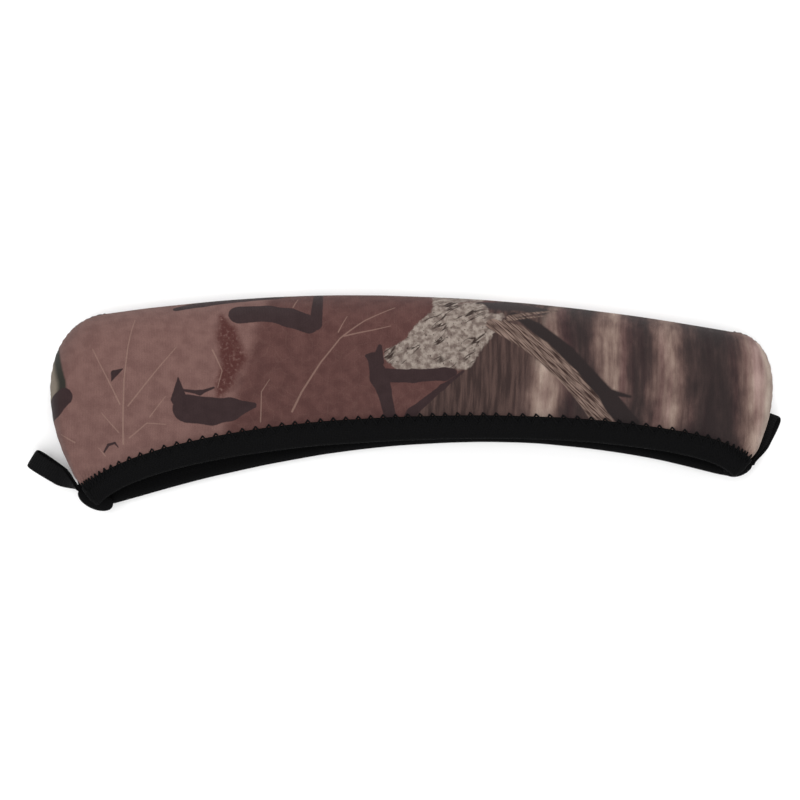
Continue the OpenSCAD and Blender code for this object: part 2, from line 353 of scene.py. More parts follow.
def knit(finish, cloth, pitch):
    """Height of a plain knit: columns of small vees."""
    across = finish.dot(cloth, (0, 1, 0))
    along = finish.dot(cloth, (1, 0, 0))
    column = finish.math("SINE", finish.math("MULTIPLY", across, 2 * math.pi / pitch))
    lean = finish.math("MULTIPLY", finish.math("ABSOLUTE", column), 1.1)
    row = finish.math("SINE", finish.math("MULTIPLY_ADD", along, 2 * math.pi / pitch * 0.8, lean))
    return finish.math("ADD", finish.math("MULTIPLY", finish.math("ABSOLUTE", column), 0.6),
                       finish.math("MULTIPLY", row, 0.4))


def trunk_colours(finish, at):
    """Blurred upright trunks, with a fine grain along them."""
    sway = finish.noise(finish.vector("MULTIPLY", at, (0.05, 0.03, 0)), 1.0, 3.0)
    x = finish.math("MULTIPLY_ADD", sway, 7.0, finish.dot(at, (1, 0, 0)))
    first, last = TRUNKS[0][0], TRUNKS[-1][0]
    place = finish.math("DIVIDE", finish.math("SUBTRACT", x, first + 3.5), last - first)
    stops = [((p - first) / (last - first), (t, t, t, 1)) for p, t in TRUNKS]
    tone = finish.shades(place, stops)
    grain = finish.noise(finish.vector("MULTIPLY", at, (0.5, 0.05, 0)), 1.0, 4.0)
    blotch = finish.noise(finish.vector("MULTIPLY", at, (0.16, 0.07, 0)), 1.0, 4.0)
    tone = finish.math("ADD", tone, finish.math("MULTIPLY_ADD", grain, 0.35, -0.18))
    tone = finish.held(finish.math("ADD", tone, finish.math("MULTIPLY_ADD", blotch, 0.7, -0.36)))
    warm = finish.shades(tone, [(0.0, TRUNK_DARK), (0.28, srgb(66, 53, 52)), (0.52, srgb(112, 88, 82)),
                                (0.76, srgb(163, 140, 128)), (1.0, srgb(208, 190, 175))])
    pink = finish.noise(finish.vector("MULTIPLY", at, (0.11, 0.01, 0)), 1.0)
    return finish.tint(finish.between(pink, 0.45, 0.7), warm, srgb(236, 222, 230), "MULTIPLY")


def bark_colours(finish, at):
    """Pale fallen bark: mottled, with small pits and a few thin slanting cracks."""
    lichen = finish.noise(at, 0.34, 5.0)
    pale = finish.tint(finish.between(lichen, 0.36, 0.64), BARK_GREY, BARK_PALE)
    pits = finish.noise(at, 0.8, 2.0)
    pale = finish.tint(finish.between(pits, 0.37, 0.29), pale, srgb(70, 58, 54))
    slant = finish.noise(finish.turned(at, 37, (0.03, 0.16, 0)), 1.0, 3.0)
    crack = finish.between(finish.math("ABSOLUTE", finish.math("SUBTRACT", slant, 0.52)), 0.03, 0.006)
    few = finish.between(finish.noise(at, 0.11, 1.0), 0.42, 0.58)
    return finish.tint(finish.math("MULTIPLY", crack, few), pale, srgb(60, 48, 44))


def print_colours(finish, cloth):
    """Colour of the print at a place on the flat cloth."""
    edge = finish.math("ADD", finish.dot(cloth, (0.012, 1, 0)),
                       finish.math("MULTIPLY", finish.noise(cloth, 0.03), 14.0))
    past_crown = finish.math("GREATER_THAN", edge, 71.0)
    at = finish.vector("SUBTRACT", cloth, finish.vector("SCALE", ROLL_SHIFT, scale=past_crown))
    next_length = finish.math("GREATER_THAN", finish.dot(at, (1, 0, 0)), 184.0)
    at = finish.vector("SUBTRACT", at, finish.vector("SCALE", (ROLL_LENGTH, 0, 0), scale=next_length))

    def drift(scale, detail, reach):
        shift = finish.vector("SUBTRACT", finish.noise(at, scale, detail, "Color"), (0.5, 0.5, 0.5))
        return finish.vector("MULTIPLY", shift, (reach, reach, 0))
    calm = finish.vector("ADD", at, drift(0.03, 0.0, 2.0))
    frayed = drift(0.9, 2.0, 1.6)
    torn = finish.vector("ADD", finish.vector("ADD", calm, drift(0.1, 3.0, 5.0)), frayed)
    clean = finish.vector("ADD", calm, finish.vector("SCALE", frayed, scale=0.25))
    x = finish.dot(torn, (1, -0.3, 0))

    mottle = finish.noise(at, 0.16, 5.0)
    tan = finish.tint(finish.between(mottle, 0.33, 0.66), srgb(119, 88, 83), LEAF_TAN)
    red = finish.tint(finish.between(mottle, 0.33, 0.66), srgb(90, 60, 57), LEAF_RED)
    leaves = finish.tint(finish.between(x, -88.0, -80.0), tan, red)
    shadow = strokes(finish, torn, RED_SHADOW, 4.0)
    speckle = finish.between(finish.noise(at, 0.6, 4.0), 0.2, 0.52)
    patch = finish.math("MULTIPLY", finish.between(shadow, 2.4, -2.4), speckle)
    leaves = finish.tint(patch, leaves, RED_DEEP)
    net = finish.node("ShaderNodeTexVoronoi", feature="DISTANCE_TO_EDGE")
    finish.give(net.inputs["Vector"], torn)
    net.inputs["Scale"].default_value = 0.16
    threads = finish.between(net.outputs["Distance"], 0.05, 0.0)
    leaves = finish.tint(finish.math("MULTIPLY", threads, 0.05), leaves, VEIN)
    ribs = strokes(finish, calm, VEINS)
    leaves = finish.tint(finish.math("MULTIPLY", finish.between(ribs, 0.3, -0.15), 0.55), leaves, VEIN)

    streaks = finish.noise(finish.vector("MULTIPLY", clean, (0.45, 0.045, 0)), 1.0, 4.0)
    brown = finish.tint(finish.between(streaks, 0.36, 0.66), srgb(62, 48, 46), srgb(93, 73, 68))
    past_leaf = finish.dot(torn, (1, -1.08, 0))
    past_leaf = finish.math("MAXIMUM", finish.between(past_leaf, 9.0, 12.0), finish.between(x, 22.0, 26.0))
    drawn = finish.tint(past_leaf, leaves, brown)
    drawn = finish.tint(finish.between(x, 50.0, 60.0), drawn, trunk_colours(finish, calm))
    sliver = stroke(finish, clean, END_SLIVER)
    drawn = finish.tint(finish.between(sliver, 5.2, 3.6), drawn, srgb(54, 52, 46))
    drawn = finish.tint(finish.between(sliver, 1.6, -2.4), drawn, srgb(146, 134, 120))
    moss = strokes(finish, torn, CROWN_MOSS, 3.0)
    drawn = finish.tint(finish.between(moss, 1.5, -1.5), drawn, srgb(58, 50, 50))
    bark = strokes(finish, torn, PALE_BARK, 6.0)
    drawn = finish.tint(finish.between(bark, 0.6, -0.6), drawn, bark_colours(finish, at))
    marks = strokes(finish, clean, SMALL_MARKS, 0.5)
    dark = finish.math("MINIMUM", strokes(finish, clean, DARK_LEAVES, 2.5), marks)
    ink = finish.tint(finish.noise(at, 0.2, 3.0), srgb(50, 36, 37), srgb(66, 50, 51))
    drawn = finish.tint(finish.between(dark, 0.25, -0.25), drawn, ink)

    shade = strokes(finish, clean, [BRANCH_SHADE, THORN], 1.0)
    drawn = finish.tint(finish.between(shade, 0.8, -0.6), drawn, TRUNK_DARK)
    grain = finish.noise(finish.turned(at, -44, (0.12, 1.7, 0)), 1.0, 4.0)
    wood = finish.tint(finish.between(grain, 0.36, 0.66), srgb(58, 42, 38), srgb(150, 127, 116))
    branch = finish.math("MINIMUM", stroke(finish, clean, BRANCH, 1.0), strokes(finish, clean, TWIGS, 1.0))
    return finish.tint(finish.between(branch, 0.5, -0.5), drawn, wood)


def printed_jersey():
    finish = Finish("woodland_jersey", roughness=0.9, sheen=0.04, specular=0.1)
    cloth = finish.cloth_mm()
    height = knit(finish, cloth, KNIT_PITCH)
    colour = print_colours(finish, cloth)
    # The print is multiplied by a fibre mottle and by the knit's height. The fibre mottle is a random tone
    # of the ink. Because the same noise raises the bump, it is also painted shade where the fibres lie low.
    # The knit term is painted shade, darker in the knit's valleys.
    fibre = finish.noise(cloth, 2.6, 3.0)
    grain = finish.math("MULTIPLY_ADD", fibre, 0.5, 0.35)
    grain = finish.math("MULTIPLY_ADD", height, 0.07, finish.math("SUBTRACT", grain, 0.03))
    shade = finish.node("ShaderNodeCombineXYZ")
    for socket in shade.inputs:
        finish.give(socket, grain)
    finish.paint(finish.tint(1.0, colour, shade.outputs[0], "MULTIPLY"))
    finish.bump(finish.math("ADD", height, finish.math("MULTIPLY", fibre, 0.8)), 0.12 * MM, 0.6)
    return finish.material


# %% [markdown]
# The other finishes are black, and only their structure tells them apart: the lining is a plain knit, the
# binding a woven elastic with fine cross ribs, the loops a coarser ribbed elastic, and the thread a dull
# twist.

# %% Black finishes
def black_knit():
    finish = Finish("plain_jersey", roughness=0.95, specular=0.04)
    cloth = finish.cloth_mm()
    height = knit(finish, cloth, 0.7)
    fleck = finish.noise(cloth, 1.4, 3.0)
    finish.paint(finish.tint(fleck, srgb(1, 1, 2), srgb(5, 5, 6)))
    finish.bump(height, 0.15 * MM, 0.7)
    return finish.material


def foam():
    finish = Finish("foam_rubber", roughness=0.9, specular=0.08)
    at = finish.node("ShaderNodeTexCoord").outputs["Object"]
    cells = finish.node("ShaderNodeTexVoronoi")
    finish.give(cells.inputs["Vector"], at)
    cells.inputs["Scale"].default_value = 2600
    # Each cell is darker towards its centre, where the bump sinks it into a pore: painted shade in the
    # pores.
    tone = finish.between(cells.outputs["Distance"], 0.0, 0.7)
    finish.paint(finish.tint(tone, srgb(8, 8, 9), srgb(22, 22, 24)))
    finish.bump(cells.outputs["Distance"], 0.1 * MM)
    return finish.material


def ribbed_elastic(name, rib, light):
    """Woven elastic: ribs across its length, and fine rubber cords along it."""
    finish = Finish(name, roughness=0.9, specular=0.06)
    cloth = finish.cloth_mm()
    along = finish.dot(cloth, (1, 0, 0))
    across = finish.dot(cloth, (0, 1, 0))
    uneven = finish.math("MULTIPLY", finish.noise(cloth, 0.6, 2.0), 1.5)
    ribs = finish.math("SINE", finish.math("MULTIPLY_ADD", along, 2 * math.pi / rib, uneven))
    cords = finish.math("SINE", finish.math("MULTIPLY", across, 2 * math.pi / 0.9))
    height = finish.math("MULTIPLY_ADD", ribs, 0.5, finish.math("MULTIPLY", cords, 0.4))
    # The colour follows the height of the ribs and cords. It is darker in the grooves, which is painted
    # shade, over a random tone.
    tone = finish.held(finish.math("MULTIPLY_ADD", height, 0.3, finish.noise(cloth, 1.1, 3.0)))
    colour = finish.tint(tone, srgb(3, 3, 3), srgb(light, light, light + 1))
    finish.paint(colour)
    finish.bump(height, 0.16 * MM, 0.8)
    return finish.material


def black_thread():
    finish = Finish("twisted_thread", roughness=0.8, specular=0.08)
    at = finish.node("ShaderNodeTexCoord").outputs["Object"]
    fuzz = finish.noise(at, 3500.0, 2.0)
    finish.paint(finish.tint(fuzz, srgb(3, 3, 4), srgb(14, 14, 15)))
    return finish.material

# %% [markdown]
# The sleeve's wall is a surface that follows a rule. In plan it lies between the rim of the mouth and the
# outline, which runs up one end seam, along the crown and down the other end seam. Each section leaves
# the rim at the height of the lip, swells to the belly, and rolls round the crown on an ellipse. These
# few formulas give any point of it, so cloth, binding and stitches are all laid on the same surface and
# can't drift apart.

# %% Curves of the sleeve
SLEEVE_L, OBJECTIVE_H, EYEPIECE_H = 356, 94, 71
CROWN_RISE, LEFT_RISE, RIGHT_RISE = 13, 26, 23
CENTRE = np.array((0.4, -1.1))
END_SHARE, RIM_SHARE = (0.21, 0.17), (0.085, 0.073)


def arch(a, b, rise, first, second):
    """Four control points from a to b. Each inner one is (share of the span, lift in rises)."""
    lift = np.array((0.0, rise))
    return [a, a + (b - a) * first[0] + lift * first[1], a + (b - a) * second[0] + lift * second[1], b]


def bezier(control, t):
    t = np.asarray(t, float)[..., None]
    u = 1 - t
    return (u ** 3 * control[0] + 3 * u * u * t * control[1] + 3 * u * t * t * control[2]
            + t ** 3 * control[3])


half_l = SLEEVE_L / 2
mouth_corners = CENTRE + (24 - half_l, -50), CENTRE + (half_l - 18, -36)
crown_corners = mouth_corners[0] + (6, OBJECTIVE_H), mouth_corners[1] + (-2, EYEPIECE_H)
objective_seam = [mouth_corners[0], CENTRE + (-half_l - 8, -13), CENTRE + (-half_l - 6, 41),
                  crown_corners[0]]
eyepiece_seam = [mouth_corners[1], CENTRE + (half_l + 6, -12), CENTRE + (half_l + 8, 34), crown_corners[1]]
crown_line = arch(*crown_corners, CROWN_RISE, (0.31, 1.31), (0.63, 1.34))
print("mouth corners", mouth_corners, "crown corners", crown_corners)


# %% The outline and the rim
def outline(s):
    """Point of the outline in plan, at share s of its run from one mouth corner to the other."""
    a, b = END_SHARE
    ends = np.where((s < a)[..., None], bezier(objective_seam, np.clip(s / a, 0, 1)),
                    bezier(eyepiece_seam, np.clip((1 - s) / b, 0, 1)))
    on_crown = ((s >= a) & (s <= 1 - b))[..., None]
    return np.where(on_crown, bezier(crown_line, np.clip((s - a) / (1 - a - b), 0, 1)), ends)


def unit(v):
    return v / np.maximum(np.linalg.norm(v, axis=-1, keepdims=True), 1e-9)


def outward(s):
    """The outline's normal in plan, which points away from the sleeve."""
    run = unit(outline(np.minimum(1, s + 0.002)) - outline(np.maximum(0, s - 0.002)))
    return np.stack((-run[..., 1], run[..., 0]), -1)


def rim_at(s):
    """Share of the rim that the section at s starts from. The end sections fan out from the corners."""
    (a, b), (ra, rb) = END_SHARE, RIM_SHARE
    p, q = np.clip(s / a, 0, 1), np.clip((1 - s) / b, 0, 1)
    middle = ra + (1 - ra - rb) * (s - a) / (1 - a - b)
    first, last = ra * p * (0.2 + 0.8 * p * p), 1 - rb * q * (0.2 + 0.8 * q * q)
    return np.where(s < a, first, np.where(s > 1 - b, last, middle))


def rounded(q):
    q = np.clip(q, 0, 1)
    return np.sqrt(1 - (1 - q) ** 2)


def fullness(s):
    """1 along the sleeve, falling to 0 at both mouth corners."""
    return np.minimum(rounded(s / (1.2 * END_SHARE[0])), rounded((1 - s) / (1.2 * END_SHARE[1])))


# %% The wall
LIP_GAP, CROWN_R = 9.0, 22.0
FACE_T, FOAM_T, LINING_T = 0.6, 2.0, 0.5
WALL_T = FACE_T + FOAM_T + LINING_T


class Side:
    """One side of the sleeve: its lip's curve, its bulge, where its belly is full, and +1 up or -1 down."""

    def __init__(self, lip, bulge, flat, up):
        self.lip, self.bulge, self.flat, self.up = lip, bulge, flat, up

    def reach(self, s):
        return np.linalg.norm(outline(s) - bezier(self.lip, rim_at(s)), axis=-1)

    def turn(self, s):
        """Radius in plan over which the crown or the end rolls under."""
        length = self.reach(s)
        return np.minimum(np.maximum(0.2, np.minimum(CROWN_R, 0.55 * length)), 0.9 * length)

    def point(self, s, x):
        """Point of the outer face: s along the sleeve, x in plan from the rim."""
        s, x = np.broadcast_arrays(np.asarray(s, float), np.asarray(x, float))
        length, radius = self.reach(s), self.turn(s)
        full, lip = self.bulge * fullness(s), LIP_GAP * fullness(s)
        belly = lip + (full - lip) * np.sin(math.pi / 2 * np.minimum(1, x / (length - radius) / self.flat))
        height = np.where(length - x < radius, full * rounded((length - x) / radius), belly)
        rim = bezier(self.lip, rim_at(s))
        plan = rim + (outline(s) - rim) * (x / length)[..., None]
        return np.concatenate((plan, (SEAM_Z + self.up * height)[..., None]), -1)

    def ahead(self, s, x):
        """Direction up the wall, from the rim to the crown."""
        length = self.reach(s)
        return unit(self.point(s, np.minimum(x + 0.2, length)) - self.point(s, np.maximum(x - 0.2, 0)))

    def normal(self, s, x):
        share = x / self.reach(s)
        low, high = np.maximum(s - 0.0015, 0.001), np.minimum(s + 0.0015, 0.999)
        along = self.point(high, share * self.reach(high)) - self.point(low, share * self.reach(low))
        return unit(np.cross(along, self.ahead(s, x))) * self.up


LEFT = Side(arch(*mouth_corners, LEFT_RISE, (0.1, 1.48), (0.93, 1.19)), LEFT_TOP - SEAM_Z, 1.0, 1)
RIGHT = Side(arch(*mouth_corners, RIGHT_RISE, (0.21, 0.71), (0.6, 1.96)), SEAM_Z, 0.5, -1)
crown_top = outline(np.linspace(0, 1, 400))[:, 1].max()
frame_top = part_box("left_face_fabric")[1].y / MM
print("crown at y", round(float(crown_top), 1), "mm, in the frame", round(frame_top, 1))

# %% [markdown]
# A flat rule alone looks like plastic. Real laminate shows how it was sewn: it is squeezed under the
# binding and swells just beside it, the zigzag gathers it into small puckers, the end seams pull a
# groove, and the wide faces lie in slow, shallow waves. The relief below adds these to the wall along its
# normal, a fraction of a millimetre each.

# %% Relief of the sewn cloth
BINDING_W, BINDING_T, THREAD_D = 10.0, 1.0, 0.5
ZIGZAGS = 2 * round(0.55 * SLEEVE_L / 6.1)


def zigzag_at(k):
    q = np.asarray(k, float) / ZIGZAGS
    return 0.05 + 0.9 * (q + 0.04 * np.sin(2 * math.pi * q))


def zigzag_phase(s):
    """Number of zigzags up to s, read backwards from zigzag_at."""
    k = np.arange(ZIGZAGS + 1)
    return np.interp(s, zigzag_at(k), k)


def slow_waves(points, size, seed):
    flat = points.reshape(-1, 3)
    shift = Vector((seed, 2 * seed, 3 * seed))
    heights = [noise.noise(Vector(p) / size + shift) for p in flat]
    return np.array(heights).reshape(points.shape[:-1])


def relief(side, s, x):
    """How far the cloth stands off its plain shape, in mm."""
    s, x = np.broadcast_arrays(np.asarray(s, float), np.asarray(x, float))
    at = side.point(s, x)
    to_edge = side.reach(s) - x
    clear = np.clip(to_edge / 9, 0, 1)
    waves = 0.8 * slow_waves(at, 48, 3.7) + 0.3 * slow_waves(at, 17, 8.1)
    squeezed = -0.45 / (1 + np.exp((x - BINDING_W - 0.6) / 0.35))
    swollen = 0.7 * np.exp(-((x - BINDING_W - 5.5) / 4.2) ** 2)
    beyond = np.maximum(x - BINDING_W - 2, 0) / 4.5
    gathers = 0.3 * np.cos(2 * math.pi * (zigzag_phase(s) - 0.5)) * np.exp(-beyond ** 1.5)
    gathers *= np.clip((x - BINDING_W + 0.5) / 1.5, 0, 1)
    a, b = END_SHARE
    sewn = np.clip((a - s) / 0.012, 0, 1) + np.clip((s - 1 + b) / 0.012, 0, 1)
    groove = -0.65 * np.exp(-(to_edge / 0.22) ** 2) * sewn
    tugs = 0.22 * np.sin(2 * math.pi * s * 95 + 4 * np.sin(s * 40)) * np.exp(-to_edge / 2.5) * sewn
    cloth = waves * (0.35 + 0.65 * clear) + squeezed + (swollen + gathers) * clear
    return cloth + groove + tugs * (to_edge > 0.05)


# %% [markdown]
# The three layers of the laminate are closed shells laid inside each other. One grid of points covers the
# whole blank, from the upper lip over the crown to the lower lip, so the cloth runs unbroken over the
# fold. Each shell is that grid taken at two depths. Its UV map holds the flat pattern: on the upper side
# a point keeps its place in plan, stretched to its length over the curve, and on the lower side the
# pattern is mirrored at the fold, as cut cloth is.

# %% Grid of the blank
STATIONS, UPPER_COLUMNS, LOWER_COLUMNS = 330, 100, 40
SHARP_EDGE = 55
FIRST_S = 0.006
TABLE_GAP = 0.03


def stations(count):
    """Sections along the sleeve, closer together towards both ends."""
    t = np.linspace(0, 1, count)
    return FIRST_S + (1 - 2 * FIRST_S) * (0.6 * t + 0.2 * (1 - np.cos(math.pi * t)))


def even_section(side, s, columns):
    """Plan distances from the rim, evenly spaced along the cloth, and the length of cloth up to each."""
    length, radius = side.reach(s)[:, None], side.turn(s)[:, None]
    belly = (length - radius) * np.linspace(0, 1, 90)[None, :-1]
    roll = length - radius * (1 - np.sin(np.linspace(0, math.pi / 2, 90)[None, :]))
    x = np.concatenate((belly, roll), 1)
    points = side.point(s[:, None], x)
    run = np.zeros(x.shape)
    run[:, 1:] = np.cumsum(np.linalg.norm(np.diff(points, axis=1), axis=-1), axis=1)
    even = run[:, -1:] * np.linspace(0, 1, columns)[None, :]
    return np.array([np.interp(e, r, row) for e, r, row in zip(even, run, x)]), even


def both_sides(upper, lower):
    """One grid over the upper side and back along the lower one. They share the column at the fold."""
    return np.concatenate((upper, lower[:, -2::-1]), 1)


s_row = stations(STATIONS)
upper_x, upper_run = even_section(LEFT, s_row, UPPER_COLUMNS)
lower_x, lower_run = even_section(RIGHT, s_row, LOWER_COLUMNS)
plain = both_sides(LEFT.point(s_row[:, None], upper_x), RIGHT.point(s_row[:, None], lower_x))
stand_off = both_sides(relief(LEFT, s_row[:, None], upper_x), relief(RIGHT, s_row[:, None], lower_x))
out = unit(np.cross(np.gradient(plain, axis=0), np.gradient(plain, axis=1)))
skin = plain + stand_off[..., None] * out
skin[..., 2] = np.maximum(skin[..., 2], TABLE_GAP)
thin = np.minimum(1, np.minimum(0.6 * LIP_GAP * fullness(s_row), 0.4 * LEFT.turn(s_row)) / WALL_T)
print("blank of", skin.shape[:2], "points")

# %% The flat pattern of the blank
turn_start = (LEFT.reach(s_row) - LEFT.turn(s_row))
ref_run = np.array([np.interp(t, x, r) for t, x, r in zip(turn_start, upper_x, upper_run)])
heading = unit(outline(s_row) - bezier(LEFT.lip, rim_at(s_row)))
ref_plan = bezier(LEFT.lip, rim_at(s_row)) + heading * turn_start[:, None]
upper_cloth = ref_plan[:, None] + heading[:, None] * (upper_run - ref_run[:, None])[..., None]

fold = upper_cloth[:, -1]
on_crown = (s_row > END_SHARE[0]) & (s_row < 1 - END_SHARE[1])
lower_heading = unit(outline(s_row) - bezier(RIGHT.lip, rim_at(s_row)))
lower_flat = fold[:, None] - lower_heading[:, None] * (lower_run[:, -1:] - lower_run)[..., None]
fold_y = np.interp(lower_flat[..., 0], fold[on_crown, 0], fold[on_crown, 1])
lower_cloth = np.stack((lower_flat[..., 0], 2 * fold_y - lower_flat[..., 1]), -1)
upper_map = both_sides(upper_cloth, lower_cloth)
lower_map = np.concatenate((upper_cloth[:, :-1], lower_cloth[:, ::-1]), 1)
print("flat pattern from", upper_map.min((0, 1)).round(1), "to", upper_map.max((0, 1)).round(1), "mm")


# %% A closed wall between two grids
def wall_faces(front, back, ring):
    """Quads of a closed wall, as rows of four indices."""
    def quads(*corners):
        return np.stack(corners, -1).reshape(-1, 4)
    faces = [quads(front[:-1, :-1], front[1:, :-1], front[1:, 1:], front[:-1, 1:]),
             quads(back[:-1, :-1], back[:-1, 1:], back[1:, 1:], back[1:, :-1]),
             quads(front[:-1, 0], back[:-1, 0], back[1:, 0], front[1:, 0]),
             quads(front[:-1, -1], front[1:, -1], back[1:, -1], back[:-1, -1])]
    if not ring:
        faces.append(quads(front[0, :-1], front[0, 1:], back[0, 1:], back[0, :-1]))
        faces.append(quads(front[-1, :-1], back[-1, :-1], back[-1, 1:], front[-1, 1:]))
    return np.concatenate(faces)


def closed_wall(name, front, back, cloth, material, beyond=None, split=None, ring=False):
    """A closed piece between two grids in mm, with a UV map in metres of cloth. Columns past split use the
    map beyond. A ring's last section joins its first, and its cloth has one row more."""
    rows, columns = front.shape[:2]
    index = np.arange(rows * columns).reshape(rows, columns)
    if ring:
        index = np.vstack((index, index[:1]))
    flat_index = np.arange(index.size).reshape(index.shape)
    faces = wall_faces(index, index + rows * columns, ring)
    corners = wall_faces(flat_index, flat_index, ring)

    mesh = bpy.data.meshes.new(name)
    points = np.concatenate((front.reshape(-1, 3), back.reshape(-1, 3)))
    mesh.from_pydata(points * MM, [], faces.tolist())
    on_cloth = cloth.reshape(-1, 2)[corners]
    if split is not None:
        past = (corners % columns).min(1) >= split
        on_cloth[past] = beyond.reshape(-1, 2)[corners[past]]
    mesh.uv_layers.new(name="cloth").data.foreach_set("uv", (on_cloth * MM).astype(np.float32).ravel())
    a, b, c, d = (points[faces[:, k]] for k in range(4))
    if (np.cross(b - a, c - a) * a + np.cross(c - a, d - a) * a).sum() < 0:
        mesh.flip_normals()
    mesh.materials.append(material)
    mesh.shade_smooth()
    mesh.set_sharp_from_angle(angle=math.radians(SHARP_EDGE))
    piece = bpy.data.objects.new(name, mesh)
    bpy.context.scene.collection.objects.link(piece)
    print(name, len(mesh.polygons), "quads")
    return piece


def layer(name, outer, inner, step, material):
    """One layer of the laminate, between two depths in mm, on every step-th section and column."""
    rows = sorted({*range(0, STATIONS, step), STATIONS - 1})
    columns = sorted({*range(0, skin.shape[1], step), UPPER_COLUMNS - 1, skin.shape[1] - 1})
    pick = np.ix_(rows, columns)
    depth = thin[rows][:, None, None] * out[pick]
    front, back = skin[pick] - outer * depth, skin[pick] - inner * depth
    return closed_wall(name, front, back, upper_map[pick], material, lower_map[pick],
                       columns.index(UPPER_COLUMNS - 1))


# %% The laminate
sleeve_face = layer("sleeve_face", 0, FACE_T, 1, printed_jersey())
sleeve_foam = layer("sleeve_foam", FACE_T, FACE_T + FOAM_T, 2, foam())
sleeve_lining = layer("sleeve_lining", FACE_T + FOAM_T, WALL_T, 2, black_knit())

# %% [markdown]
# The mouth is bound with fold-over elastic: a flat woven tape with a crease down its middle, folded over
# the raw edge and sewn through. So its section is a U with two legs and a round bend, swept along the
# upper lip, round the corner and back along the lower lip as one closed ring. Where the sleeve is
# narrower than the legs, at both corners, the elastic reaches the end seam, and the two lips' tapes are
# folded together there into a rounded bulge.

# %% Mouth binding
def binding_sections(side, s):
    """Outer and inner skin of the tape for every section, and the length of tape across it."""
    s = s[:, None]
    tight = np.minimum(1, 0.6 * LIP_GAP * fullness(s) / WALL_T)
    leg = np.minimum(BINDING_W, side.reach(s) - 0.15)
    leg_share = np.concatenate((np.array((1.0, 0.985, 0.95)), np.linspace(0.86, 0, 9)))[None]
    x = leg * leg_share
    at, n, press = side.point(s, x), side.normal(s, x), relief(side, s, x)
    edge = np.array((0.25, 0.8, 1.0) + 9 * (1.0,))[None]
    wale = 1 + 0.04 * np.cos(leg_share * 2 * math.pi * 7)
    outer = at + n * (press + BINDING_T * edge * wale)[..., None]
    inner = at + n * (press - 0.02)[..., None]
    wall = WALL_T * tight
    inside_t = np.minimum(BINDING_T, 0.3 * LIP_GAP * fullness(s))
    back = at - n * (wall - press + inside_t * edge)[..., None]
    back_inner = at - n * (wall - press - 0.02)[..., None]
    lip, out_of_mouth = at[:, -1:], -side.ahead(s, x[:, -1:] * 0)
    centre = lip + n[:, -1:] * (press[:, -1:] - wall / 2)[..., None]
    bend = np.linspace(math.pi / 2, -math.pi / 2, 11)[None, 1:-1]

    def round_edge(over, under):
        tall = np.where(bend > 0, wall / 2 + over, wall / 2 + under)
        return centre + (n[:, -1:] * (np.sin(bend) * tall)[..., None]
                         + out_of_mouth * (np.cos(bend) * (wall / 2 + over * 0.9))[..., None])
    front = np.concatenate((outer, round_edge(BINDING_T, inside_t), back[:, ::-1]), 1)
    behind = np.concatenate((inner, round_edge(0.02, 0.02), back_inner[:, ::-1]), 1)
    front[..., 2] = np.maximum(front[..., 2], TABLE_GAP)
    behind[..., 2] = np.maximum(behind[..., 2], 2 * TABLE_GAP)
    across = np.zeros(front.shape[:2])
    across[:, 1:] = np.cumsum(np.linalg.norm(np.diff(front, axis=1), axis=-1), axis=1)
    return front, behind, across - across[:, [front.shape[1] // 2]]


lip_s = stations(300)
upper, lower = binding_sections(LEFT, lip_s), binding_sections(RIGHT, lip_s[::-1])
tape_front, tape_back, tape_across = (np.concatenate(pair) for pair in zip(upper, lower))
bend_column = tape_front.shape[1] // 2
steps = np.linalg.norm(np.diff(np.vstack((tape_front, tape_front[:1]))[:, bend_column], axis=0), axis=-1)
tape_along = np.concatenate(([0], np.cumsum(steps)))
tape_across = np.vstack((tape_across, tape_across[:1]))
tape_cloth = np.stack(np.broadcast_arrays(tape_along[:, None], tape_across), -1)
mouth_binding = closed_wall("mouth_binding", tape_front, tape_back, tape_cloth,
                            ribbed_elastic("fold_over_tape", 0.8, 13), ring=True)
print("tape of", round(float(tape_along[-1])), "mm round the mouth")


def corner_fold(centre, half_long, half_wide, heading):
    """The bulge where the two lips' tapes are folded together and sewn down at a mouth corner."""
    u, v = np.meshgrid(np.linspace(-1, 1, 33), np.linspace(-1, 1, 25), indexing="ij")
    x, y = u * np.sqrt(1 - v * v / 2), v * np.sqrt(1 - u * u / 2)
    turn = math.radians(heading)
    plan = np.stack((half_long * x * math.cos(turn) - half_wide * y * math.sin(turn),
                     half_long * x * math.sin(turn) + half_wide * y * math.cos(turn), np.zeros_like(x)), -1)
    plan = plan + np.array((*centre, SEAM_Z))
    tall = 0.3 + 3.1 * np.maximum(0, 1 - x * x - y * y) ** 0.4
    up = np.zeros_like(plan)
    up[..., 2] = tall
    cloth = np.stack((half_long * x, half_wide * y), -1)
    return closed_wall("corner_fold", plan + up, plan - up, cloth, mouth_binding.data.materials[0])


folds = [corner_fold((-154.2, -48.6), 9.2, 4.9, 156), corner_fold((162.3, -32.6), 7.4, 4.6, 22)]
together = [mouth_binding, *folds]
with bpy.context.temp_override(active_object=mouth_binding, selected_editable_objects=together):
    bpy.ops.object.join()

# %% [markdown]
# Stitches repeat along a path, so Geometry Nodes make them. The needle's path is a chain of points on the
# surfaces above: it dips into the cloth at each corner of the zigzag and steps down from the tape on to
# the jersey. The tree turns the chain into a curve and sweeps a three-stranded section along it, turning
# it as it goes, which gives the thread its twist.

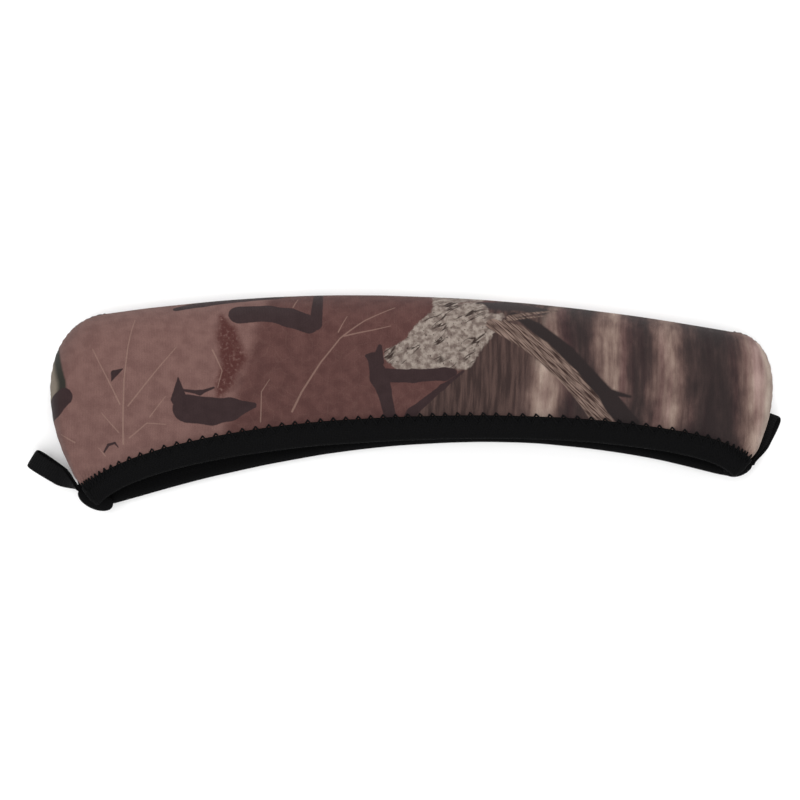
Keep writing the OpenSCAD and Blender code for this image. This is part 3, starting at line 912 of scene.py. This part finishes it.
# %% A tree that lays thread along a path
def thread_tree():
    tree = bpy.data.node_groups.new("laid_thread", "GeometryNodeTree")
    face = tree.interface
    for name, kind in (("Geometry", "Geometry"), ("Thickness", "Float"), ("Twist", "Float"),
                       ("Step", "Float"), ("Material", "Material")):
        face.new_socket(name, in_out="INPUT", socket_type="NodeSocket" + kind)
    face.new_socket("Geometry", in_out="OUTPUT", socket_type="NodeSocketGeometry")
    made = {name: tree.nodes.new(kind) for name, kind in (
        ("in", "NodeGroupInput"), ("chain", "GeometryNodeMeshToCurve"),
        ("even", "GeometryNodeResampleCurve"),
        ("place", "GeometryNodeSplineParameter"), ("turns", "ShaderNodeMath"),
        ("tilt", "GeometryNodeSetCurveTilt"), ("strands", "GeometryNodeCurveStar"),
        ("half", "ShaderNodeMath"), ("waist", "ShaderNodeMath"),
        ("sweep", "GeometryNodeCurveToMesh"), ("real", "GeometryNodeRealizeInstances"),
        ("finish", "GeometryNodeSetMaterial"), ("out", "NodeGroupOutput"))}
    made["even"].mode = "LENGTH"
    for name in ("turns", "half", "waist"):
        made[name].operation = "MULTIPLY"
    made["half"].inputs[1].default_value = 0.5
    made["waist"].inputs[1].default_value = 0.31
    made["strands"].inputs["Points"].default_value = 3
    made["sweep"].inputs["Fill Caps"].default_value = True
    for source, plug, target, socket in (
            ("in", "Geometry", "chain", "Mesh"), ("chain", "Curve", "even", "Curve"),
            ("in", "Step", "even", "Length"),
            ("even", "Curve", "tilt", "Curve"), ("place", "Length", "turns", 0),
            ("in", "Twist", "turns", 1),
            ("turns", 0, "tilt", "Tilt"), ("in", "Thickness", "half", 0), ("in", "Thickness", "waist", 0),
            ("half", 0, "strands", "Outer Radius"), ("waist", 0, "strands", "Inner Radius"),
            ("tilt", "Curve", "sweep", "Curve"), ("strands", "Curve", "sweep", "Profile Curve"),
            ("sweep", "Mesh", "real", "Geometry"), ("real", "Geometry", "finish", "Geometry"),
            ("in", "Material", "finish", "Material"), ("finish", "Geometry", "out", "Geometry")):
        tree.links.new(made[source].outputs[plug], made[target].inputs[socket])
    return tree


laid_thread, thread_finish = thread_tree(), black_thread()
THREAD_FLUFF, THREAD_TWIST, THREAD_STEP = 1.9, 2.2, 0.28


def thread_along(name, path):
    """A thread laid along a chain of points in mm, as a plain mesh."""
    path[:, 2] = np.maximum(path[:, 2], THREAD_D * THREAD_FLUFF / 2 + TABLE_GAP)
    chain = bpy.data.meshes.new(name + "_path")
    chain.from_pydata(path * MM, [(k, k + 1) for k in range(len(path) - 1)], [])
    guide = bpy.data.objects.new(name + "_path", chain)
    bpy.context.scene.collection.objects.link(guide)
    modifier = guide.modifiers.new("thread", "NODES")
    modifier.node_group = laid_thread
    sockets = laid_thread.interface.items_tree
    identifier = {item.name: item.identifier for item in sockets if item.in_out == "INPUT"}
    modifier[identifier["Thickness"]] = THREAD_D * THREAD_FLUFF * MM
    modifier[identifier["Twist"]] = 2 * math.pi / (THREAD_TWIST * MM)
    modifier[identifier["Step"]] = THREAD_STEP * MM
    modifier[identifier["Material"]] = thread_finish
    bpy.context.view_layer.update()
    mesh = bpy.data.meshes.new_from_object(guide.evaluated_get(bpy.context.evaluated_depsgraph_get()))
    bpy.data.objects.remove(guide)
    mesh.name = name
    mesh.shade_smooth()
    piece = bpy.data.objects.new(name, mesh)
    bpy.context.scene.collection.objects.link(piece)
    print(name, len(mesh.polygons), "faces")
    return piece


# %% [markdown]
# The zigzag's lower corners sit on the tape and its upper ones on the jersey just past the tape's edge.
# Near the mouth corners the sleeve is too narrow for that, and the stitch shrinks with it. The end seams
# carry a plain stitch laid to and fro over the groove where the two sides meet.

# %% Stitches
LEG_SHARES = np.array((0, 0.04, 0.1, 0.3, 0.5, 0.58, 0.66, 0.76, 0.9, 0.96))
PEAK_OVER, VALLEY_UNDER = 1.7, 3.0
DIP = 0.55


def zigzag_path(side):
    """The needle's path along one lip: every half zigzag is a straight run over tape and jersey."""
    k = np.arange(2 * ZIGZAGS)[:, None]
    t = LEG_SHARES[None]
    rising = k % 2 == 0
    s = zigzag_at((k + t) / 2)
    climb = np.where(rising, t, 1 - t)
    x = BINDING_W - VALLEY_UNDER + (PEAK_OVER + VALLEY_UNDER) * climb
    x = np.minimum(x, side.reach(s) - 1.2)
    on_tape = 1 / (1 + np.exp((x - BINDING_W - 0.25) / 0.12))
    lift = BINDING_T * on_tape + 0.62 * THREAD_D
    lift = lift - DIP * (np.exp(-(t / 0.05) ** 2) + np.exp(-((1 - t) / 0.05) ** 2))
    return (side.point(s, x) + side.normal(s, x) * (relief(side, s, x) + lift)[..., None]).reshape(-1, 3)


def end_seam_path(first, last, count):
    """To and fro across the outline between two places on it."""
    k = np.arange(count)[:, None]
    t = np.array((0, 0.12, 0.5, 0.88))[None]
    s = first + (last - first) * (k + t) / count
    across = 1.5 * np.where(k % 2 == 0, 1 - 2 * t, 2 * t - 1)
    proud = -0.05 - 0.4 * (np.abs(across) > 1.3)
    plan = outline(s) + outward(s) * proud[..., None]
    return np.concatenate((plan, (SEAM_Z + across)[..., None]), -1).reshape(-1, 3)


left_zigzag = thread_along("left_binding_zigzag", zigzag_path(LEFT))
right_zigzag = thread_along("right_binding_zigzag", zigzag_path(RIGHT))
objective_path = end_seam_path(0.045, END_SHARE[0] - 0.004, 46)
eyepiece_path = end_seam_path(1 - END_SHARE[1] + 0.004, 0.96, 36)
objective_seam_thread = thread_along("objective_seam_stitches", objective_path)
eyepiece_seam_thread = thread_along("eyepiece_seam_stitches", eyepiece_path)

# %% [markdown]
# Each pull loop is a short ribbon of coarse elastic, folded in two and sewn in at a mouth corner. Its two
# plies lie together at the root, part like a drop towards the tip, and the whole loop turns about its
# length. Fine ribs run across it, and its ends reach into the corner, where the binding covers them.

# %% Pull loops
RIBBON_W, RIBBON_T = 9.0, 1.1
ROOT_IN = 1.5
RIB_PITCH = 1.15


def pull_loop(name, length, half_open, turn, veer, material):
    """A ribbon from its root out to the tip and back."""
    base, angle = LOOP_BASE[name], math.radians(LOOP_HEADING[name] + veer)
    ahead = np.array((math.cos(angle), math.sin(angle), 0))
    aside = np.array((-math.sin(angle), math.cos(angle), 0))
    up = np.array((0, 0, 1.0))
    ply = RIBBON_T / 2 + 0.05
    drop = [np.array(p) for p in ((0, ply), (0.55 * length, ply), (length, half_open * 2.2), (length, 0))]
    half = bezier(drop, np.linspace(0, 1, 90))
    root = np.stack((np.linspace(-ROOT_IN, 0, 14)[:-1], np.full(13, ply)), -1)
    there = np.concatenate((root, half))
    flat = np.concatenate((there, there[-2::-1] * (1, -1)))
    a = math.radians(turn) * np.clip(flat[:, 0] / length / 0.45, 0, 1)
    part = aside * np.cos(a)[:, None] + up * np.sin(a)[:, None]
    wide = up * np.cos(a)[:, None] - aside * np.sin(a)[:, None]
    line = base + ahead * flat[:, :1] + part * flat[:, 1:]
    run = np.concatenate(([0], np.cumsum(np.linalg.norm(np.diff(line, axis=0), axis=-1))))
    thick = unit(np.cross(np.gradient(line, axis=0), wide))
    across = np.sin(np.linspace(-math.pi / 2, math.pi / 2, 13))
    selvedge = np.sqrt(1 - 0.92 * np.abs(across) ** 9)
    swell = 1 + 0.1 * np.sin(2 * math.pi * run / RIB_PITCH)[:, None]
    half_t = RIBBON_T / 2 * selvedge[None] * swell
    middle = line[:, None] + wide[:, None] * (across * RIBBON_W / 2)[None, :, None]
    front, back = middle + thick[:, None] * half_t[..., None], middle - thick[:, None] * half_t[..., None]
    cloth = np.stack(np.broadcast_arrays(run[:, None], across[None] * RIBBON_W / 2), -1)
    return closed_wall(name + "_loop_ribbon", front, back, cloth, material)


loop_elastic = ribbed_elastic("loop_ribbon", RIB_PITCH, 22)
objective_loop = pull_loop("objective", 27, 3, 80, 0, loop_elastic)
eyepiece_loop = pull_loop("eyepiece", 25, 3.5, 60, 14, loop_elastic)

# %% [markdown]
# Last, each piece takes the place of its parts in the frame, which are hidden. The sleeve, its binding, the
# upper zigzag and both loops stay where they were built. What is sewn to the lower side is attached to
# the body of the right side and rides with it.

# %% Pieces and the frame
for piece, names in ((sleeve_face, "face_fabric"), (sleeve_foam, "foam_core"),
                     (sleeve_lining, "lining_fabric"), (mouth_binding, "mouth_binding")):
    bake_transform(piece)
    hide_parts("left_" + names, "right_" + names)
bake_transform(left_zigzag)
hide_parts("left_binding_stitching")
for piece, node in ((right_zigzag, "right_binding_stitching"),
                    (objective_seam_thread, "objective_end_seam_thread"),
                    (eyepiece_seam_thread, "eyepiece_end_seam_thread")):
    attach(piece, "right_side")
    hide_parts(node)
for name, piece in (("objective", objective_loop), ("eyepiece", eyepiece_loop)):
    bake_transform(piece)
    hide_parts(name + "_pull_loop")
